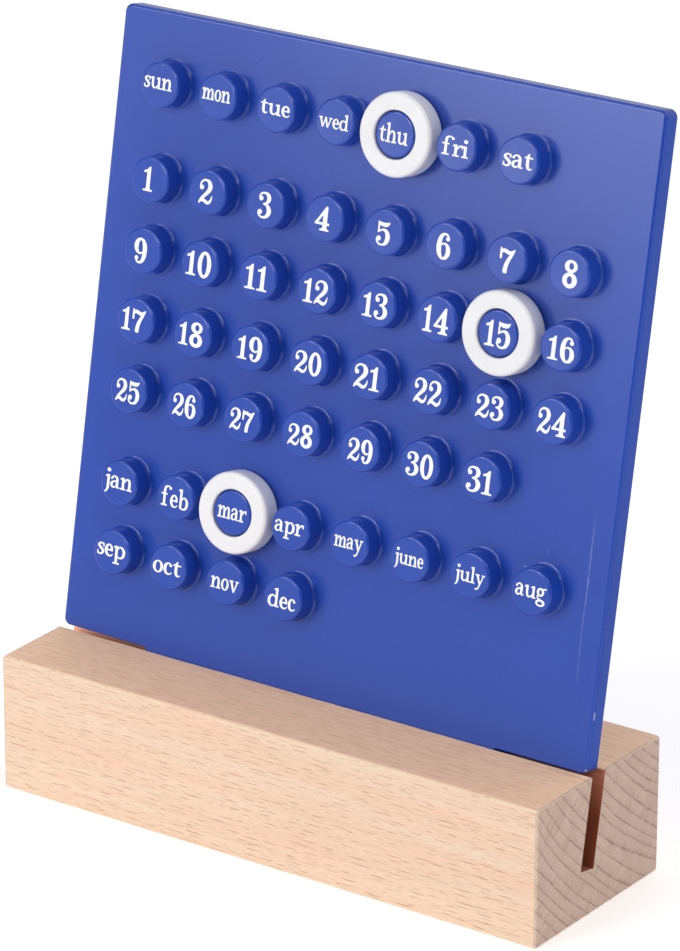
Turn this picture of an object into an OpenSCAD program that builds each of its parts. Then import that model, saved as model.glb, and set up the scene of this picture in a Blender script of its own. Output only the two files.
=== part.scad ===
// Perpetual desk calendar: a solid beech block with a leaning saw-cut slot,
// a square moulded panel whose tab drops into the slot, fifty short round
// studs on the front of the panel, and three loose rings that hang on the
// studs and pick out the weekday, the date and the month.
// Millimetres. +X runs to the right along the block, +Y to the back, +Z up.
// The origin is the centre of the block's bottom face.

/* [Base block] */
// Length of the block, left to right
base_l = 150; // [149:0.5:190]
// Depth of the block, front to back
base_d = 50.6; // [46:0.2:70]
// Height of the block
base_h = 33.6; // [31:0.2:50]
// Rounding of the block's twelve outer edges
base_edge = 0.8; // [0.3:0.1:2]

/* [Slot] */
// Lean of the slot and the panel, away from the upright
lean = 10.7; // [5:0.1:15]
// Width of the slot, square to its walls
slot_w = 5.3; // [5.3:0.1:6]
// Depth of the slot, measured down its slope
slot_depth = 22.1; // [15:0.1:24]
// Front lip of the slot, from the middle of the block (negative is forward)
slot_y = -3.04; // [-6:0.02:2]

/* [Panel] */
// Width of the panel
panel_w = 147.5; // [146:0.1:150]
// Height of the panel above its shoulders
panel_h = 148.8; // [146:0.1:160]
// Thickness of the panel and its tab
panel_t = 5; // [4:0.1:5]
// Corner radius of the panel's outline
panel_corner = 2; // [0.8:0.1:3]
// Rounding along the panel's outer edges
panel_edge = 0.8; // [0.3:0.1:1]
// Sideways place of the panel's middle in the open slot
panel_x = -0.65; // [-10:0.05:10]
// Clear gap between the panel's left shoulder and the block's top
shoulder_gap = 0.6; // [0.6:0.1:3]
// How much lower the right shoulder reaches than the left one
shoulder_drop = 0.5; // [0:0.1:0.5]
// Width of the tab that stands in the slot
tab_w = 98.4; // [60:0.1:110]
// Clear gap under the tab
tab_clear = 0.05; // [0.05:0.05:1]

/* [Studs] */
// Radius of a stud's face
stud_r = 5.33; // [4.8:0.01:5.34]
// Extra radius of a stud at its root, for the draft
stud_draft = 0.07; // [0:0.01:0.1]
// Height of a stud above the panel's front
stud_h = 5; // [4:0.1:6]
// Rounding of a stud's rim
stud_round = 0.55; // [0.1:0.05:1]
// Distance from one stud to the next along a row
col_pitch = 16.42; // [15.9:0.02:16.6]
// Distance between neighbouring rows of one group
row_pitch = 16.6; // [15.9:0.02:16.7]
// Distance between the last row of one group and the first of the next
group_gap = 22.1; // [19.6:0.1:22.2]
// Height of the lowest row above the panel's left shoulder
first_row = 21.7; // [16:0.1:22]
// First column, from the middle of the panel
first_col = -58.05; // [-60:0.05:-56]

/* [Rings] */
// Outside radius of a ring
ring_r = 9.62; // [9:0.01:9.7]
// Radius of a ring's hole
ring_bore_r = 5.55; // [5.5:0.01:5.8]
// Height of a ring, along the stud
ring_h = 5.35; // [4.5:0.05:7]
// Rounding of a ring's two outer edges
ring_round = 0.9; // [0.3:0.1:1.5]
// Rounding of the two edges of a ring's hole
ring_bore_round = 0.45; // [0.2:0.05:0.6]
// Gap between a seated ring and the panel
ring_seat = 0.02; // [0.02:0.01:0.2]
// Weekday picked out, counted from 0 at the left
weekday = 4; // [0:1:6]
// Date picked out
date = 15; // [1:1:31]
// Month picked out
month = 3; // [1:1:12]

/* [Hidden] */
$fn = 64;

// The panel stands in the middle of the slot's width, so its front plane lies
// this far behind the slot's front wall.
panel_gap = (slot_w - panel_t) / 2;
panel_y = slot_y + panel_gap / cos(lean);
tab_len = shoulder_gap + slot_depth - tab_clear;
right_w = (panel_w - tab_w) / 2 + 8;
beech = [0.87, 0.72, 0.58];
blue = [0.18, 0.24, 0.66];
white = [0.94, 0.93, 0.92];

// Rows of studs are counted from the bottom: two rows of months, four rows of
// dates and one row of weekdays. A group gap takes the place of a row pitch
// between the groups. Heights run up the panel from the block's top.
function row_up(k) = shoulder_gap + first_row + k * row_pitch
    + (k > 1 ? group_gap - row_pitch : 0) + (k > 5 ? group_gap - row_pitch : 0);
function stud_x(col) = panel_x + first_col + col * col_pitch;
// Eight studs to a row in the date and month groups, read left to right and down.
function date_at(d) = [stud_x((d - 1) % 8), row_up(5 - floor((d - 1) / 8))];
function month_at(m) = [stud_x((m - 1) % 8), row_up(1 - floor((m - 1) / 8))];
function weekday_at(w) = [stud_x(w), row_up(6)];

// Panel frame: X as in the world, Y up the slope of the panel from the level
// of the block's top, Z square out of the panel's front face.
module on_panel() {
    translate([0, panel_y, base_h]) rotate([90 - lean, 0, 0]) children();
}

// Rectangle w by h centred on the origin, with corners of radius r.
module soft_rect(w, h, r) {
    square([w - 2 * r, h], center = true);
    square([w, h - 2 * r], center = true);
    for (x = [-1, 1], y = [-1, 1])
        translate([x * (w / 2 - r), y * (h / 2 - r)]) circle(r);
}

// Box centred on the origin with true rounded edges: rz on the four edges
// along Z, and r on the other eight.
module soft_box(x, y, z, r, rz) {
    intersection() {
        translate([0, 0, -z / 2]) linear_extrude(z) soft_rect(x, y, rz);
        rotate([90, 0, 90]) translate([0, 0, -x]) linear_extrude(2 * x) soft_rect(y, z, r);
        rotate([90, 0, 0]) translate([0, 0, -y]) linear_extrude(2 * y) soft_rect(x, z, r);
    }
}

module base_block() {
    color(beech) difference() {
        translate([0, 0, base_h / 2]) soft_box(base_l, base_d, base_h, base_edge, base_edge);
        // saw-cut slot, open at both ends of the block, leaning with the panel
        translate([0, slot_y, base_h]) rotate([90 - lean, 0, 0])
            translate([-base_l, -slot_depth, -slot_w])
                cube([2 * base_l, slot_depth + 20, slot_w]);
    }
}

// The panel with its lower right shoulder and its tab. The studs stand on its
// front face.
module panel() {
    color(blue) on_panel() {
        translate([panel_x, shoulder_gap + panel_h / 2, -panel_t / 2])
            soft_box(panel_w, panel_h, panel_t, panel_edge, panel_corner);
        // right shoulder
        translate([panel_x + (panel_w - right_w) / 2, shoulder_gap - shoulder_drop + 6, -panel_t / 2])
            soft_box(right_w, 12, panel_t, panel_edge, panel_corner);
        translate([panel_x - tab_w / 2, shoulder_gap - tab_len, -panel_t])
            cube([tab_w, tab_len + 8, panel_t]);
    }
}

// One stud: a short drafted post with a rounded rim.
module stud() {
    rotate_extrude() {
        polygon([[0, 0], [stud_r + stud_draft, 0], [stud_r, stud_h - stud_round],
                 [stud_r - stud_round, stud_h], [0, stud_h]]);
        intersection() {
            translate([stud_r - stud_round, stud_h - stud_round]) circle(stud_round);
            translate([stud_r - stud_round, stud_h - stud_round]) square(2 * stud_round);
        }
    }
}

module studs_at(places) {
    color(blue) on_panel() for (p = places) translate([p[0], p[1], 0]) stud();
}

module weekday_studs() { studs_at([for (w = [0:6]) weekday_at(w)]); }
module date_studs() { studs_at([for (d = [1:31]) date_at(d)]); }
module month_studs() { studs_at([for (m = [1:12]) month_at(m)]); }

// One ring: a short thick tube with soft edges, seated over a stud.
module ring(p) {
    w = ring_r - ring_bore_r;
    color(white) on_panel() translate([p[0], p[1], ring_seat]) rotate_extrude() {
        translate([ring_bore_r, ring_bore_round]) square([w / 2, ring_h - 2 * ring_bore_round]);
        translate([ring_bore_r + ring_bore_round, 0]) square([w / 2 - ring_bore_round, ring_h]);
        translate([ring_bore_r + w / 2, ring_round]) square([w / 2, ring_h - 2 * ring_round]);
        translate([ring_bore_r + w / 2, 0]) square([w / 2 - ring_round, ring_h]);
        for (z = [0, 1]) {
            translate([ring_bore_r + ring_bore_round,
                       z ? ring_h - ring_bore_round : ring_bore_round]) circle(ring_bore_round);
            translate([ring_r - ring_round, z ? ring_h - ring_round : ring_round]) circle(ring_round);
        }
    }
}

module weekday_ring() { ring(weekday_at(weekday)); }
module date_ring() { ring(date_at(date)); }
module month_ring() { ring(month_at(month)); }

base_block();
panel();
weekday_studs();
date_studs();
month_studs();
weekday_ring();
date_ring();
month_ring();
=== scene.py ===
import math

import bpy
import numpy as np
from mathutils import Matrix, Vector
from mathutils.geometry import delaunay_2d_cdt


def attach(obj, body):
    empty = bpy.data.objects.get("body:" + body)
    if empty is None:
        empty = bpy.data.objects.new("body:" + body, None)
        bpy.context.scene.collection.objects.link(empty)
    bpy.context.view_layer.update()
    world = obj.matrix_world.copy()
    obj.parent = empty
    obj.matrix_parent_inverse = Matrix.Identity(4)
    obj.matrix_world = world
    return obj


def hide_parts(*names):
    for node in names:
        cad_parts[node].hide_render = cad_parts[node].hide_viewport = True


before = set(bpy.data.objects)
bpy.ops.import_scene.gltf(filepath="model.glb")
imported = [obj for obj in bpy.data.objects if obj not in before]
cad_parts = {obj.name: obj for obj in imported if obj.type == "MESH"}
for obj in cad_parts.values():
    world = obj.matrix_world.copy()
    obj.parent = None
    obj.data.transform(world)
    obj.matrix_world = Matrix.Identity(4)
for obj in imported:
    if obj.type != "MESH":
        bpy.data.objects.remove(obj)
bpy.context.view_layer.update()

SC = bpy.context.scene

# ---------------------------------------------------------------------------
# The panel's own frame, in millimetres: x along the panel, s up its slope from
# the level of the block's top, d square out of its front face.
# ---------------------------------------------------------------------------
LEAN = math.radians(10.7)
BASE_L, BASE_D, BASE_H = 150.0, 50.6, 33.6
SLOT_Y, SLOT_W, SLOT_DEEP = -3.04, 5.3, 22.1
UP = np.array([0.0, math.sin(LEAN), math.cos(LEAN)])
OUT = np.array([0.0, -math.cos(LEAN), math.sin(LEAN)])
ORG = np.array([0.0, SLOT_Y + 0.15 / math.cos(LEAN), BASE_H])
XX = np.array([1.0, 0.0, 0.0])

PANEL_X0, PANEL_X1, PANEL_S1 = -74.4, 73.1, 149.395
LEFT_S = (0.74, 0.48)        # left shoulder, at the panel's edge and at the tab
RIGHT_S = (0.05, 0.10)       # right shoulder, at the panel's edge and at the tab
TAB_X0, TAB_X1, TAB_S0 = -49.85, 48.55, -22.05
PANEL_T = 5.0
STUD_R, STUD_DRAFT, STUD_H, STUD_ROUND = 5.33, 0.07, 5.0, 0.55
STUD_FOOT = 0.65
STUD_DISH = 0.035
ROWS = [22.3, 38.9, 61.0, 77.6, 94.2, 110.8, 132.9]
RING_R, RING_BORE, RING_H, RING_ROUND, RING_BORE_ROUND, RING_SEAT = 9.62, 5.55, 5.35, 0.9, 0.45, 0.02


def stud_x(col):
    return -58.70 + 16.42 * col


WEEKDAYS = [(w, (stud_x(i), ROWS[6])) for i, w in enumerate("sun mon tue wed thu fri sat".split())]
DATES = [(str(d), (stud_x((d - 1) % 8), ROWS[5 - (d - 1) // 8])) for d in range(1, 32)]
MONTHS = [(m, (stud_x(i % 8), ROWS[1 - i // 8])) for i, m in enumerate(
    "jan feb mar apr may june july aug sep oct nov dec".split())]
ALL_STUDS = WEEKDAYS + DATES + MONTHS


def pan(x, s, d):
    x, s, d = np.broadcast_arrays(np.asarray(x, float), np.asarray(s, float), np.asarray(d, float))
    return ORG + x[..., None] * XX + s[..., None] * UP + d[..., None] * OUT


def pan_dir(x, s, d):
    x, s, d = np.broadcast_arrays(np.asarray(x, float), np.asarray(s, float), np.asarray(d, float))
    v = x[..., None] * XX + s[..., None] * UP + d[..., None] * OUT
    return v / np.linalg.norm(v, axis=-1, keepdims=True)


# ---------------------------------------------------------------------------
# Mesh helpers
# ---------------------------------------------------------------------------
class Build:
    """Vertices in millimetres with exact normals, and a value per vertex."""

    def __init__(self):
        self.v, self.n, self.a, self.f, self.count = [], [], [], [], 0

    def add(self, pts, nrm, att=0.0):
        pts = np.asarray(pts, float).reshape(-1, 3)
        nrm = np.broadcast_to(np.asarray(nrm, float), pts.shape)
        self.v.append(pts)
        self.n.append(nrm)
        self.a.append(np.broadcast_to(np.asarray(att, float), (len(pts),)))
        base = self.count
        self.count += len(pts)
        return base

    def strip(self, a, b, n, closed=True):
        """Quads between loop a and loop b; seen from outside, loop a runs to the right below b."""
        for i in range(n if closed else n - 1):
            j = (i + 1) % n
            self.f.append((a + i, a + j, b + j, b + i))

    def fan(self, loop, n, centre):
        for i in range(n):
            self.f.append((loop + i, loop + (i + 1) % n, centre))

    def obj(self, name, att=None):
        v = np.concatenate(self.v) * 0.001
        n = np.concatenate(self.n)
        n = n / np.linalg.norm(n, axis=1, keepdims=True)
        me = bpy.data.meshes.new(name)
        me.from_pydata([tuple(p) for p in v.tolist()], [], self.f)
        me.update()
        me.polygons.foreach_set("use_smooth", [True] * len(me.polygons))
        if att:
            lay = me.attributes.new(att, "FLOAT", "POINT")
            lay.data.foreach_set("value", np.concatenate(self.a).astype(np.float32))
        me.normals_split_custom_set_from_vertices([tuple(q) for q in n.tolist()])
        ob = bpy.data.objects.new(name, me)
        SC.collection.objects.link(ob)
        return ob


def soft_outline(corners, seg):
    """Closed outline through corners (x, y, radius), counter-clockwise, with arcs at the corners.
    Returns points and outward normals. Inward corners are recognised by their turn."""
    pts, nrm = [], []
    n = len(corners)
    for i in range(n):
        x, y, r = corners[i]
        p = np.array([x, y])
        d1 = p - np.array(corners[i - 1][:2])
        d2 = np.array(corners[(i + 1) % n][:2]) - p
        d1, d2 = d1 / np.linalg.norm(d1), d2 / np.linalg.norm(d2)
        turn = d1[0] * d2[1] - d1[1] * d2[0]
        ang = math.atan2(turn, float(d1 @ d2))
        left = np.array([-d1[1], d1[0]])
        sgn = 1.0 if ang > 0 else -1.0
        t = r * math.tan(abs(ang) / 2)
        c = p - d1 * t + left * r * sgn
        for k in range(seg + 1):
            q = -sgn * left
            a = ang * k / seg
            rot = np.array([q[0] * math.cos(a) - q[1] * math.sin(a), q[0] * math.sin(a) + q[1] * math.cos(a)])
            pts.append(c + r * rot)
            nrm.append(sgn * rot)
    return np.array(pts), np.array(nrm)


def flat_fill(loops):
    """Triangles over the region bounded by the first loop with the other loops as holes.
    loops is a list of (points 2-D, list of ids). Returns triangles of ids, counter-clockwise."""
    pts, ids, edges = [], [], []
    for p, idl in loops:
        b = len(pts)
        m = len(p)
        pts += [Vector((float(q[0]), float(q[1]))) for q in p]
        ids += list(idl)
        edges += [(b + k, b + (k + 1) % m) for k in range(m)]
    vo, _, fo, ov, _, _ = delaunay_2d_cdt(pts, edges, [], 0, 1e-6, True)
    vid = [ids[o[0]] if o else None for o in ov]
    tri = np.array([f for f in fo if len(f) == 3])
    vv = np.array([(q[0], q[1]) for q in vo])
    cen = vv[tri].mean(1)
    keep = inside(cen, np.asarray(loops[0][0]))
    for p, _ in loops[1:]:
        p = np.asarray(p)
        lo, hi = p.min(0) - 1e-6, p.max(0) + 1e-6
        cand = np.nonzero(keep & (cen > lo).all(1) & (cen < hi).all(1))[0]
        if len(cand):
            keep[cand[inside(cen[cand], p)]] = False
    out = []
    for t in tri[keep]:
        a, b, c = vv[t[0]], vv[t[1]], vv[t[2]]
        area = (b[0] - a[0]) * (c[1] - a[1]) - (b[1] - a[1]) * (c[0] - a[0])
        if abs(area) < 1e-10:
            continue
        t = t if area > 0 else t[::-1]
        out.append((vid[t[0]], vid[t[1]], vid[t[2]]))
    return out


def inside(q, poly):
    x, y = q[:, 0], q[:, 1]
    res = np.zeros(len(q), bool)
    n = len(poly)
    for i in range(n):
        x0, y0 = poly[i]
        x1, y1 = poly[(i + 1) % n]
        if y0 == y1:
            continue
        c = ((y0 > y) != (y1 > y)) & (x < (x1 - x0) * (y - y0) / (y1 - y0) + x0)
        res ^= c
    return res


# ---------------------------------------------------------------------------
# Panel moulding: the plate with its tab and fifty studs, one closed mesh
# ---------------------------------------------------------------------------
def face_d(r):
    """Height of a stud's face at radius r: very slightly dished by shrinkage."""
    return STUD_H - STUD_DISH * (1.0 - (np.asarray(r, float) / (STUD_R - STUD_ROUND)) ** 2)


def stud_profile():
    """Rings from the plate up to the face: radius, height, normal, and 1 where the surface is a polished fillet."""
    r0, f = STUD_R + STUD_DRAFT, STUD_FOOT
    pr = [(r0 + f + 0.03, 0.0, 0.0, 1.0, 0.0)]
    for k in range(9):
        a = math.radians(270 - 90 * k / 8)
        pr.append((r0 + f + f * math.cos(a), f + f * math.sin(a), -math.cos(a), -math.sin(a), 1.0))
    slope = STUD_DRAFT / (STUD_H - STUD_ROUND)
    pr.append((r0 - slope * 1.0, 1.0, 1.0, slope, 0.0))
    pr.append((r0 - slope * 4.2, 4.2, 1.0, slope, 0.0))
    c = (STUD_R - STUD_ROUND, STUD_H - STUD_ROUND)
    for k in range(8):
        a = math.radians(90 * k / 7)
        pr.append((c[0] + STUD_ROUND * math.cos(a), c[1] + STUD_ROUND * math.sin(a), math.cos(a), math.sin(a), 1.0))
    rr = STUD_R - STUD_ROUND
    for r in (4.75, 3.7, 2.4, 1.1):
        pr.append((r, float(face_d(r)), -2 * STUD_DISH * r / rr ** 2, 1.0, 0.0))
    return pr


def build_panel():
    b = Build()
    corners = [(TAB_X0, TAB_S0, 1.2), (TAB_X1, TAB_S0, 1.2), (TAB_X1, RIGHT_S[1], 0.4), (PANEL_X1, RIGHT_S[0], 1.6),
               (PANEL_X1, PANEL_S1, 2.0), (PANEL_X0, PANEL_S1, 2.0), (PANEL_X0, LEFT_S[0], 1.8), (TAB_X0, LEFT_S[1], 0.4)]
    p, nr = soft_outline(corners, 10)
    m = len(p)
    # the edges along the two shoulders are sharper than the rest
    rf = np.concatenate([np.linspace(c0, c1, 11) for c0, c1 in (
        (0.6, 0.6), (0.6, 0.6), (0.35, 0.35), (0.4, 0.8), (0.8, 0.8), (0.8, 0.8), (0.8, 0.5), (0.45, 0.45))])
    prof = []
    for k in range(8):
        a = math.radians(90 * k / 7)
        prof.append((rf * (1 - math.sin(a)), -rf * (1 - math.cos(a)), math.cos(a), math.sin(a)))
    for k in range(7):
        a = math.radians(90 + 90 * k / 6)
        prof.append((rf * (1 - math.sin(a)), -PANEL_T + rf * (1 + math.cos(a)), math.cos(a), math.sin(a)))
    loops = []
    for inset, d, cn, co in prof:
        q = p - inset[:, None] * nr
        loops.append((b.add(pan(q[:, 0], q[:, 1], d), pan_dir(nr[:, 0] * co, nr[:, 1] * co, cn),
                            1.0 if 0.05 < co < 0.98 else 0.0), q))
    for (i, _), (j, _) in zip(loops[:-1], loops[1:]):
        b.strip(j, i, m)
    # studs
    seg = 72
    ang = np.arange(seg) * 2 * math.pi / seg
    ca, sa = np.cos(ang), np.sin(ang)
    pr = stud_profile()
    front = [(loops[0][1], range(loops[0][0], loops[0][0] + m))]
    for _, (cx, cs) in ALL_STUDS:
        last = None
        for r, d, a_r, a_d, gloss in pr:
            base = b.add(pan(cx + r * ca, cs + r * sa, d), pan_dir(a_r * ca, a_r * sa, a_d), gloss)
            if last is None:
                front.append((np.stack([cx + r * ca, cs + r * sa], 1), range(base, base + seg)))
            else:
                b.strip(last, base, seg)
            last = base
        c = b.add(pan(cx, cs, float(face_d(0))), OUT)
        b.fan(last, seg, c)
    b.f += flat_fill(front)
    # back: faint sink dimples behind the studs, and round ejector marks
    bseg = 28
    bang = np.arange(bseg) * 2 * math.pi / bseg
    bc, bs = np.cos(bang), np.sin(bang)
    back = [(loops[-1][1], range(loops[-1][0], loops[-1][0] + m))]
    for _, (cx, cs) in ALL_STUDS:
        last = None
        for r in (6.4, 5.2, 4.2, 3.2, 2.2, 1.1):
            g = 0.055 * (math.exp(-(r / 2.9) ** 2) - math.exp(-(6.4 / 2.9) ** 2))
            sl = -2 * r / 2.9 ** 2 * 0.055 * math.exp(-(r / 2.9) ** 2)
            base = b.add(pan(cx + r * bc, cs + r * bs, -PANEL_T + g), pan_dir(sl * bc, sl * bs, -1.0))
            if last is None:
                back.append((np.stack([cx + r * bc, cs + r * bs], 1), range(base, base + bseg)))
            else:
                b.strip(base, last, bseg)
            last = base
        c = b.add(pan(cx, cs, -PANEL_T + 0.055), -OUT)
        for i in range(bseg):
            b.f.append((last + (i + 1) % bseg, last + i, c))
    marks = [(x, s) for s in (49.95, 121.85) for x in (-66.5, -25.8, 15.2, 64.8)]
    marks += [(x, -9.0) for x in (-38.0, 0.0, 38.0)] + [(x, 9.2) for x in (-62.0, 0.0, 61.0)]
    for cx, cs in marks:
        last = None
        for r, g, t in ((2.6, 0.0, 0.0), (2.55, 0.03, 0.5), (2.5, 0.06, 0.0)):
            base = b.add(pan(cx + r * bc, cs + r * bs, -PANEL_T + g), pan_dir(-t * bc, -t * bs, -1.0))
            if last is None:
                back.append((np.stack([cx + r * bc, cs + r * bs], 1), range(base, base + bseg)))
            else:
                b.strip(base, last, bseg)
            last = base
        c = b.add(pan(cx, cs, -PANEL_T + 0.06), -OUT)
        for i in range(bseg):
            b.f.append((last + (i + 1) % bseg, last + i, c))
    b.f += [(t[2], t[1], t[0]) for t in flat_fill(back)]
    return b.obj("panel_moulding", att="fillet")


# ---------------------------------------------------------------------------
# Rings
# ---------------------------------------------------------------------------
def build_ring(name, place):
    b = Build()
    seg = 144
    ang = np.arange(seg) * 2 * math.pi / seg
    ca, sa = np.cos(ang), np.sin(ang)
    z0, h = RING_SEAT, RING_H
    ro, ri, e, g = RING_R, RING_BORE, RING_ROUND, RING_BORE_ROUND
    pr = []

    def arc(cr, cz, rad, a0, a1, n):
        for k in range(n + 1):
            a = math.radians(a0 + (a1 - a0) * k / n)
            pr.append((cr + rad * math.cos(a), cz + rad * math.sin(a), math.cos(a), math.sin(a)))

    arc(ro - e, e, e, -90, 0, 10)
    pr.append((ro, h / 2, 1.0, 0.0))
    arc(ro - e, h - e, e, 0, 90, 10)
    crown = 0.02
    for t in (0.3, 0.6):
        r = (ro - e) + t * ((ri + g) - (ro - e))
        pr.append((r, h - crown * math.sin(math.pi * t), 0.0, 1.0))
    arc(ri + g, h - g, g, 90, 180, 7)
    pr.append((ri, h / 2, -1.0, 0.0))
    arc(ri + g, g, g, 180, 270, 7)
    first = last = None
    for r, z, a_r, a_d in pr:
        base = b.add(pan(place[0] + r * ca, place[1] + r * sa, z0 + z), pan_dir(a_r * ca, a_r * sa, a_d))
        if last is not None:
            b.strip(last, base, seg)
        else:
            first = base
        last = base
    b.strip(last, first, seg)
    return b.obj(name)


# ---------------------------------------------------------------------------
# Beech block: one cross-section swept along X, its eased edges never quite even
# ---------------------------------------------------------------------------
def wob(x, seed):
    """Smooth repeatable unevenness between about -1 and 1."""
    rng = np.random.RandomState(seed)
    y = 0.0
    for k in range(7):
        f = 0.02 * 1.75 ** k * (0.8 + 0.4 * rng.rand())
        y += math.sin(2 * math.pi * (f * x + rng.rand())) * 0.6 / 1.25 ** k
    return y / 1.9


def block_section(x):
    c, s = math.cos(LEAN), math.sin(LEAN)
    hy, t = BASE_D / 2, SLOT_W / c
    fy, fz = SLOT_Y - SLOT_DEEP * s, BASE_H - SLOT_DEEP * c          # foot of the front wall
    by, bz = fy + SLOT_W * c, fz - SLOT_W * s                        # foot of the back wall

    def e(seed, r, amp):
        return max(r * (1 + amp * wob(x, seed)), 0.25 * r)
    return [(-hy, 0.0, e(11, 0.8, 0.15)), (hy, 0.0, e(12, 0.8, 0.15)), (hy, BASE_H, e(13, 0.75, 0.2)),
            (SLOT_Y + t, BASE_H, e(14, 0.32, 0.3)), (by, bz, 0.25), (fy, fz, 0.25),
            (SLOT_Y, BASE_H, e(15, 0.32, 0.3)), (-hy, BASE_H, e(16, 1.05, 0.15))]


def build_block():
    b = Build()
    seg = 8
    hx = BASE_L / 2
    soft = np.array([0.78, 0.78, 0.73, 0.24, 0.24, 0.24, 0.24, 0.8])
    stations = []
    ne = 7
    for k in range(ne):
        stations.append((-1, math.radians(90 * k / ne)))
    xs = np.linspace(-hx + 0.9, hx - 0.9, 150)
    for x in xs:
        stations.append((0, x))
    for k in range(ne):
        stations.append((1, math.radians(90 - 90 * (k + 1) / ne)))
    loops = []
    for kind, v in stations:
        xc = v if kind == 0 else kind * (hx - 0.9)
        cs = block_section(xc)
        if kind:
            lim = [(0.8, 0.8, 0.75, 0.3, 0.25, 0.25, 0.3, 1.05)[i] for i in range(8)]
            cs = [(a, q, max(r, lim[i], soft[i] + 0.04)) for i, (a, q, r) in enumerate(cs)]
        p, nr = soft_outline(cs, seg)
        # the edge value runs across each rounded edge; the beech material uses it for pale wear and a painted highlight
        edge = np.zeros(len(p))
        for i in range(8):
            for k in range(seg + 1):
                edge[i * (seg + 1) + k] = math.sin(math.pi * k / seg) if i not in (4, 5) else 0.0
        if kind == 0:
            q, nn = p, np.stack([np.zeros(len(p)), nr[:, 0], nr[:, 1]], 1)
            x = np.full(len(p), v)
        else:
            so = np.repeat(soft, seg + 1)
            a = v
            q = p - nr * (so * (1 - math.sin(a)))[:, None]
            x = kind * (hx - so * (1 - math.cos(a)))
            nn = np.stack([np.full(len(p), kind * math.cos(a)), nr[:, 0] * math.sin(a), nr[:, 1] * math.sin(a)], 1)
            edge = np.maximum(edge * math.sin(a), math.sin(2 * a) if 0 < a < math.pi / 2 else 0.0)
        loops.append((b.add(np.stack([x, q[:, 0], q[:, 1]], 1), nn, edge), q))
    m = len(loops[0][1])
    for (i, _), (j, _) in zip(loops[:-1], loops[1:]):
        b.strip(i, j, m)
    for k, flip in ((0, True), (-1, False)):
        base, q = loops[k]
        for t in flat_fill([(q, range(base, base + m))]):
            b.f.append(t[::-1] if flip else t)
    return b.obj("beech_block", att="edge")


# ---------------------------------------------------------------------------
# Lettering: plain generic numerals and calendar words, printed on the studs.
# Each glyph is a union of strokes of changing width, discs, rings and polygons.
# Numerals are about 212 units high; letters have an x-height of 100 units.
# ---------------------------------------------------------------------------
def st(x, y0, y1, w=21):
    x = x + 2.5
    return ("P", [(x, y0), (x + w, y0), (x + w, y1), (x, y1)])


def foot(x0, x1, y=0, t=13):
    return ("P", [(x0, y), (x1, y), (x1, y + t - 1), (x1 - 7, y + t), (x0 + 7, y + t), (x0, y + t - 1)])


def flag(x, y1, w=21, e=13):
    x = x + 2.5
    return ("P", [(x - e, y1 - 19), (x - e, y1 - 7), (x + 3, y1), (x + w, y1), (x + w, y1 - 26), (x, y1 - 17)])


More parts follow.
